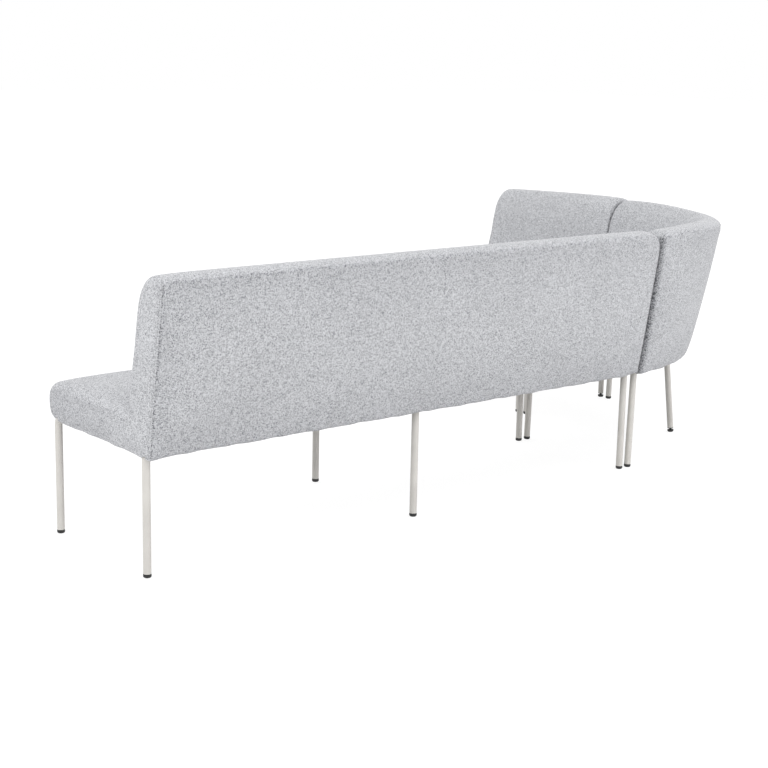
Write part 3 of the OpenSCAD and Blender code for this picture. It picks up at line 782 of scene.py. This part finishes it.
# %% Weave the wool cloth
wool, tree, shader = new_finish("woven_wool_melange", Roughness=0.95, IOR=1.54)
shader.inputs["Specular IOR Level"].default_value = 0.2
shader.inputs["Sheen Weight"].default_value = 0.3
shader.inputs["Sheen Roughness"].default_value = 0.4
shader.inputs["Sheen Tint"].default_value = colour("#f4f4f5")
cloth_map = add(tree, "ShaderNodeUVMap", uv_map="weave").outputs["UV"]
across, lengthwise = 1000 / 1.3, 1000 / 2.7
along_warp = add(tree, "ShaderNodeMapping", {"Vector": cloth_map, "Scale": (across, lengthwise, 1)})
along_weft = add(tree, "ShaderNodeMapping", {"Vector": cloth_map, "Scale": (lengthwise, across, 1)})
square = {"voronoi_dimensions": "2D", "distance": "CHEBYCHEV"}
warp = add(
    tree,
    "ShaderNodeTexVoronoi",
    {"Vector": along_warp.outputs[0], "Scale": 1.0, "Randomness": 0.8},
    **square,
)
weft = add(
    tree,
    "ShaderNodeTexVoronoi",
    {"Vector": along_weft.outputs[0], "Scale": 1.0, "Randomness": 0.8},
    **square,
)
patches = add(tree, "ShaderNodeTexNoise", {"Vector": cloth_map, "Scale": 1000 / 9, "Detail": 1.0})
on_top = add(tree, "ShaderNodeMath", {0: patches.outputs["Fac"], 1: 0.5}, operation="GREATER_THAN")
floats = add(
    tree,
    "ShaderNodeMix",
    {"Factor": on_top.outputs[0], "A": warp.outputs["Color"], "B": weft.outputs["Color"]},
    data_type="RGBA",
)
floats = add(tree, "ShaderNodeRGBToBW", {"Color": floats.outputs["Result"]})
domes = add(
    tree,
    "ShaderNodeMix",
    {"Factor": on_top.outputs[0], "A": warp.outputs["Distance"], "B": weft.outputs["Distance"]},
    data_type="FLOAT",
)
print("wool floats:", warp.name, "and", weft.name)

# %% [markdown]
# ## The yarn's greys
#
# One ramp turns a float's number into a yarn colour: few dark flecks, mostly light yarn. Slubs are
# thicker stretches of yarn, about 24 mm long and 5 mm apart, that shift a whole group of floats, and
# the dye lot drifts by a few percent over a quarter of a metre.

# %% Blend the yarn colours
stretched = add(tree, "ShaderNodeMapping", {"Vector": cloth_map, "Scale": (1000 / 24, 1000 / 5, 1)})
slubs = add(
    tree,
    "ShaderNodeTexNoise",
    {"Vector": stretched.outputs[0], "Scale": 1.0, "Detail": 3.0, "Roughness": 0.7},
)
drift = add(tree, "ShaderNodeTexNoise", {"Vector": cloth_map, "Scale": 1000 / 240, "Detail": 1.0})
grain = add(tree, "ShaderNodeMath", {0: floats.outputs[0], 1: 0.75}, operation="MULTIPLY")
grain = add(
    tree,
    "ShaderNodeMath",
    {0: slubs.outputs["Fac"], 1: 0.35, 2: grain.outputs[0]},
    operation="MULTIPLY_ADD",
)
tones = [
    (0.37, colour("#87888d")),
    (0.45, colour("#b0b1b4")),
    (0.52, colour("#cacbce")),
    (0.75, colour("#d6d7da")),
]
yarns = add(tree, "ShaderNodeValToRGB", {"Fac": grain.outputs[0]}, stops=tones)
aged = add(
    tree,
    "ShaderNodeValToRGB",
    {"Fac": drift.outputs["Fac"]},
    stops=[(0.3, (0.95, 0.95, 0.95, 1)), (0.7, (1.0, 1.0, 1.0, 1))],
)
cloth = add(
    tree,
    "ShaderNodeMix",
    {"Factor": 1.0, "A": yarns.outputs["Color"], "B": aged.outputs["Color"]},
    data_type="RGBA",
    blend_type="MULTIPLY",
)
print("yarn tones:", len(tones))

# %% [markdown]
# ## Seams, slack cloth and relief
#
# The seams are darker, mostly on their darker yarns. Shade is painted into the cloth as well: at the
# top and foot of the rear faces, at their near ends, on the seat at both ends, towards the front of
# the end panels, and in the narrow gaps between two units, where it too darkens mostly the darker
# yarns. Two attributes of the cover tell the shader where that is. The bump makes every float a low
# dome 0.6 mm high.

# %% Darken the seams, paint the shade and raise the yarn
# painted shade: the cloth's colour multiplied up to 12 % darker where the painted shade mark is 1
painted_shade_fac = add(tree, "ShaderNodeAttribute", attribute_name="painted_shade").outputs["Fac"]
cloth = add(
    tree,
    "ShaderNodeMix",
    {"Factor": painted_shade_fac, "A": cloth.outputs["Result"], "B": (0.88, 0.88, 0.885, 1)},
    data_type="RGBA",
    blend_type="MULTIPLY",
)
# the seams darkened, mostly on their darker yarns, and by the same mark painted shade in the gaps
# between units
seam_and_gap_mark = add(tree, "ShaderNodeAttribute", attribute_name="seam").outputs["Fac"]
sunk = add(
    tree,
    "ShaderNodeMapRange",
    {"Value": grain.outputs[0], "From Min": 0.42, "From Max": 0.58, "To Min": 1.0, "To Max": 0.25},
)
seams_and_gaps_darkened = add(tree, "ShaderNodeMath", {0: seam_and_gap_mark, 1: sunk.outputs[0]}, operation="MULTIPLY")
seamed_and_shaded = add(
    tree,
    "ShaderNodeMix",
    {"Factor": seams_and_gaps_darkened.outputs[0], "A": cloth.outputs["Result"], "B": colour("#77787b")},
    data_type="RGBA",
    blend_type="MULTIPLY",
)
tree.links.new(seamed_and_shaded.outputs["Result"], shader.inputs["Base Color"])
relief = add(
    tree,
    "ShaderNodeBump",
    {"Height": domes.outputs[0], "Strength": 0.4, "Distance": 0.0006},
    invert=True,
)
tree.links.new(relief.outputs["Normal"], shader.inputs["Normal"])
print(wool.name, len(tree.nodes), "nodes")

# %% [markdown]
# ## Powder-coated steel tube
#
# The legs are bent steel tube in a warm pale grey polyester powder coat, baked on. It is satin, with
# the slight orange peel of powder that has flowed out: waves about 1.5 mm wide and a few hundredths
# of a millimetre deep. Handling has left it very slightly uneven in tone.

# %% Bake the powder coat
powder_coat, tree, shader = new_finish("powder_coated_steel", Roughness=0.4, IOR=1.5)
place = add(tree, "ShaderNodeTexCoord").outputs["Object"]
peel = add(tree, "ShaderNodeTexNoise", {"Vector": place, "Scale": 1000 / 1.5, "Detail": 2.0})
handled = add(tree, "ShaderNodeTexNoise", {"Vector": place, "Scale": 1000 / 80, "Detail": 2.0})
tones = [(0.35, colour("#cbc8c3")), (0.65, colour("#d3d0cb"))]
coat = add(tree, "ShaderNodeValToRGB", {"Fac": handled.outputs["Fac"]}, stops=tones)
tree.links.new(coat.outputs["Color"], shader.inputs["Base Color"])
relief = add(
    tree, "ShaderNodeBump", {"Height": peel.outputs["Fac"], "Strength": 0.3, "Distance": 0.0001}
)
tree.links.new(relief.outputs["Normal"], shader.inputs["Normal"])
print(powder_coat.name, len(tree.nodes), "nodes")

# %% [markdown]
# ## Moulded nylon
#
# The glides and the inserts are black glass-filled nylon, injection moulded in a spark-eroded mould:
# a grain of about 0.4 mm and a dull sheen, a little smoother where the floor has rubbed it.

# %% Mould the nylon
nylon, tree, shader = new_finish("moulded_black_nylon", IOR=1.53)
place = add(tree, "ShaderNodeTexCoord").outputs["Object"]
eroded = add(tree, "ShaderNodeTexNoise", {"Vector": place, "Scale": 1000 / 0.4, "Detail": 2.0})
rubbed = add(tree, "ShaderNodeTexNoise", {"Vector": place, "Scale": 1000 / 12, "Detail": 2.0})
tones = [(0.3, colour("#101010")), (0.7, colour("#1a1a1b"))]
black = add(tree, "ShaderNodeValToRGB", {"Fac": rubbed.outputs["Fac"]}, stops=tones)
tree.links.new(black.outputs["Color"], shader.inputs["Base Color"])
dull = [(0.3, (0.4, 0.4, 0.4, 1)), (0.7, (0.56, 0.56, 0.56, 1))]
gloss = add(tree, "ShaderNodeValToRGB", {"Fac": rubbed.outputs["Fac"]}, stops=dull)
tree.links.new(gloss.outputs["Color"], shader.inputs["Roughness"])
relief = add(
    tree, "ShaderNodeBump", {"Height": eroded.outputs["Fac"], "Strength": 0.3, "Distance": 0.0001}
)
tree.links.new(relief.outputs["Normal"], shader.inputs["Normal"])
print(nylon.name, len(tree.nodes), "nodes")

# %% [markdown]
# ## Birch plywood
#
# Seat boards, back boards and ribs are birch plywood. Its face is one rotary-cut veneer with long
# soft grain, and its edges show plies of 1.4 mm that are light and dark in turn. The plies are
# drawn through the height of the boards, and the grain along the long unit.

# %% Lay up the plywood
birch, tree, shader = new_finish("birch_plywood", Roughness=0.6, IOR=1.5)
place = add(tree, "ShaderNodeTexCoord").outputs["Object"]
long_grain = add(
    tree, "ShaderNodeMapping", {"Vector": place, "Scale": (1000 / 120, 1000 / 8, 1000 / 8)}
)
figure = add(
    tree,
    "ShaderNodeTexNoise",
    {"Vector": long_grain.outputs["Vector"], "Scale": 1.0, "Detail": 6.0, "Distortion": 1.2},
)
ply_waves = 1000 / 2.8 / 20
plies = add(
    tree,
    "ShaderNodeTexWave",
    {"Vector": place, "Scale": ply_waves * math.tau, "Distortion": 0.3},
    bands_direction="Z",
)
wood = add(
    tree,
    "ShaderNodeMath",
    {0: plies.outputs["Fac"], 1: 0.3, 2: figure.outputs["Fac"]},
    operation="MULTIPLY_ADD",
)
tones = [(0.35, colour("#b98f5d")), (0.6, colour("#d3b182")), (0.9, colour("#e0c59b"))]
veneer = add(tree, "ShaderNodeValToRGB", {"Fac": wood.outputs[0]}, stops=tones)
tree.links.new(veneer.outputs["Color"], shader.inputs["Base Color"])
relief = add(
    tree, "ShaderNodeBump", {"Height": figure.outputs["Fac"], "Strength": 0.2, "Distance": 0.0003}
)
tree.links.new(relief.outputs["Normal"], shader.inputs["Normal"])
print(birch.name, len(tree.nodes), "nodes")

# %% [markdown]
# ## Lining cloth
#
# The underside is closed with black spun-bonded lining, a cheap non-woven cloth that keeps dust in.
# It shows the small dots where its fibres are melted together, about 4 mm apart, and is quite dull.

# %% Bond the lining cloth
lining, tree, shader = new_finish("spun_bonded_lining", Roughness=0.9, IOR=1.5)
place = add(tree, "ShaderNodeTexCoord").outputs["Object"]
dots = add(tree, "ShaderNodeTexVoronoi", {"Vector": place, "Scale": 1000 / 4})
fibres = add(tree, "ShaderNodeTexNoise", {"Vector": place, "Scale": 1000 / 2.5, "Detail": 4.0})
bonded = add(
    tree,
    "ShaderNodeMath",
    {0: dots.outputs["Distance"], 1: 0.4, 2: fibres.outputs["Fac"]},
    operation="MULTIPLY_ADD",
)
tones = [(0.3, colour("#1c1c1e")), (0.9, colour("#3a3a3d"))]
black = add(tree, "ShaderNodeValToRGB", {"Fac": bonded.outputs[0]}, stops=tones)
tree.links.new(black.outputs["Color"], shader.inputs["Base Color"])
relief = add(tree, "ShaderNodeBump", {"Height": bonded.outputs[0], "Strength": 0.5, "Distance": 0.0004})
tree.links.new(relief.outputs["Normal"], shader.inputs["Normal"])
print(lining.name, len(tree.nodes), "nodes")

# %% [markdown]
# ## Zinc-plated fixings
#
# Bolts, tee nuts and link screws are bright zinc-plated steel. Zinc is a pale, slightly blue metal,
# and the plating bath leaves a faint cloudiness that shows in its gloss more than in its colour.

# %% Plate the fixings
zinc, tree, shader = new_finish("zinc_plated_steel", Metallic=1.0)
place = add(tree, "ShaderNodeTexCoord").outputs["Object"]
cloudy = add(tree, "ShaderNodeTexNoise", {"Vector": place, "Scale": 1000 / 6, "Detail": 3.0})
tones = [(0.3, colour("#b4b8bb")), (0.7, colour("#cdd0d1"))]
plating = add(tree, "ShaderNodeValToRGB", {"Fac": cloudy.outputs["Fac"]}, stops=tones)
tree.links.new(plating.outputs["Color"], shader.inputs["Base Color"])
dull = [(0.3, (0.25, 0.25, 0.25, 1)), (0.7, (0.42, 0.42, 0.42, 1))]
gloss = add(tree, "ShaderNodeValToRGB", {"Fac": cloudy.outputs["Fac"]}, stops=dull)
tree.links.new(gloss.outputs["Color"], shader.inputs["Roughness"])
print(zinc.name, len(tree.nodes), "nodes")

# %% [markdown]
# ## Seating foam
#
# The foam is open-cell polyurethane, cream coloured, and yellower where air has reached it. It is
# cut from a block, so its surface is open cells of about 1 mm.

# %% Foam the pads
foam, tree, shader = new_finish("open_cell_foam", Roughness=0.95, IOR=1.45)
place = add(tree, "ShaderNodeTexCoord").outputs["Object"]
cells = add(tree, "ShaderNodeTexVoronoi", {"Vector": place, "Scale": 1000 / 1.2})
yellowed = add(tree, "ShaderNodeTexNoise", {"Vector": place, "Scale": 1000 / 60, "Detail": 2.0})
open_cells = add(
    tree,
    "ShaderNodeMath",
    {0: cells.outputs["Distance"], 1: 0.25, 2: yellowed.outputs["Fac"]},
    operation="MULTIPLY_ADD",
)
tones = [(0.4, colour("#cdbf98")), (0.8, colour("#e4dabb"))]
cream = add(tree, "ShaderNodeValToRGB", {"Fac": open_cells.outputs[0]}, stops=tones)
tree.links.new(cream.outputs["Color"], shader.inputs["Base Color"])
relief = add(
    tree, "ShaderNodeBump", {"Height": cells.outputs["Distance"], "Strength": 0.5, "Distance": 0.0005}
)
tree.links.new(relief.outputs["Normal"], shader.inputs["Normal"])
print(foam.name, len(tree.nodes), "nodes")

# %% [markdown]
# ## Give every part its finish
#
# The CAD record already says which finish each node has, so one table goes from the record's slot
# to the material made here. The covers and foam pads are new pieces and get theirs directly.

# %% Dress the CAD nodes and the new pieces
by_slot = {
    "wool_cloth": wool,
    "foam": foam,
    "plywood": birch,
    "lining_cloth": lining,
    "white_powder_coat": powder_coat,
    "black_nylon": nylon,
    "zinc_steel": zinc,
}
dressed = 0
for part in frame["record"]["subparts"]:
    for slot in frame["nodes"][part["node"]].material_slots:
        slot.material = by_slot[part["material_slot"]]
        dressed += 1
for piece in [*covers.values(), *pads]:
    piece.data.materials.clear()
    piece.data.materials.append(foam if piece in pads else wool)
print("CAD nodes dressed:", dressed, "and new pieces:", len(covers) + len(pads))

# %% [markdown]
# ## Floor and background
#
# The bench stands in a white studio. The floor is pale grey for the light, so that it throws some of
# it back under the seat. The camera, and reflections, see the paint mixed with an even glow that
# lifts it to white, so only the bench's own soft shadow stays on it. The sky dome is plain white too.

# %% Lay the floor
def direct_rays(tree):
    """1 for rays that come from the camera or off a glossy face, 0 for those that carry light on."""
    rays = add(tree, "ShaderNodeLightPath").outputs
    seen = rays["Is Camera Ray"]
    for way in ("Is Glossy Ray", "Is Transmission Ray"):
        seen = add(tree, "ShaderNodeMath", {0: seen, 1: rays[way]}, operation="ADD").outputs[0]
    return seen


bm = bmesh.new()
bmesh.ops.create_grid(bm, x_segments=1, y_segments=1, size=40)
bmesh.ops.translate(bm, verts=bm.verts, vec=(0, 0, -0.5 * MM))
floor = new_piece("studio_floor", bm)
floor_paint, tree, shader = new_finish("matt_studio_floor", Roughness=0.9, IOR=1.45)
shader.inputs["Base Color"].default_value = colour("#cfcfcf")
share = add(tree, "ShaderNodeMath", {0: direct_rays(tree), 1: 0.6}, operation="MULTIPLY")
glow = add(tree, "ShaderNodeEmission", {"Color": (1, 1, 1, 1), "Strength": 1.45})
lifted = add(
    tree, "ShaderNodeMixShader", {"Fac": share.outputs[0], 1: shader.outputs[0], 2: glow.outputs[0]}
)
tree.links.new(lifted.outputs[0], tree.nodes["Material Output"].inputs["Surface"])
floor.data.materials.append(floor_paint)
print(floor_paint.name, "on", floor.name)

# %% Open the sky dome
world = bpy.data.worlds.new("studio")
bpy.context.scene.world = world
world.use_nodes = True
tree = world.node_tree
dome = tree.nodes["Background"]
dome.inputs["Color"].default_value = (1, 1, 1, 1)
dome.inputs["Strength"].default_value = 1.0
white = add(tree, "ShaderNodeBackground", {"Color": (1, 1, 1, 1), "Strength": 1.0})
choice = add(
    tree, "ShaderNodeMixShader", {"Fac": direct_rays(tree), 1: dome.outputs[0], 2: white.outputs[0]}
)
tree.links.new(choice.outputs[0], tree.nodes["World Output"].inputs["Surface"])
print("sky dome strength:", dome.inputs["Strength"].default_value)

# %% [markdown]
# ## Studio lamps
#
# The light is soft and comes from the side of the camera: a low wide lamp to the right lights the
# rear faces, a second one on the left the end panels and the seat, a weak third on the far right
# gives the round corner its pale edge, and a weak fourth high up lifts the crests. They are large
# and far, so their shadows have soft edges, and the sky dome gives the rest.

# %% Hang the lamps
def hang_lamp(name, at, towards, size, watts):
    """A large square area lamp that looks at a point."""
    data = bpy.data.lights.new(name, "AREA")
    data.energy, data.size = watts, size
    lamp = bpy.data.objects.new(name, data)
    bpy.context.scene.collection.objects.link(lamp)
    lamp.location = at
    lamp.rotation_euler = (Vector(towards) - Vector(at)).to_track_quat("-Z", "Y").to_euler()
    return lamp


lamps = [
    hang_lamp("low_right_lamp", (1.9, -5.1, 1.3), (0.2, 0, 0.5), 2.5, 61),
    hang_lamp("left_lamp", (-5.0, -2.2, 2.2), (0, -0.3, 0.5), 2.5, 60),
    hang_lamp("corner_lamp", (5.2, -1.0, 2.4), (0.8, 0, 0.6), 2.5, 5),
    hang_lamp("top_lamp", (-0.5, 2.0, 4.5), (0.3, 0.3, 0.6), 3.0, 9),
]
bpy.context.scene.view_settings.view_transform = "Standard"
print("lamps:", [(lamp.name, lamp.data.energy) for lamp in lamps])
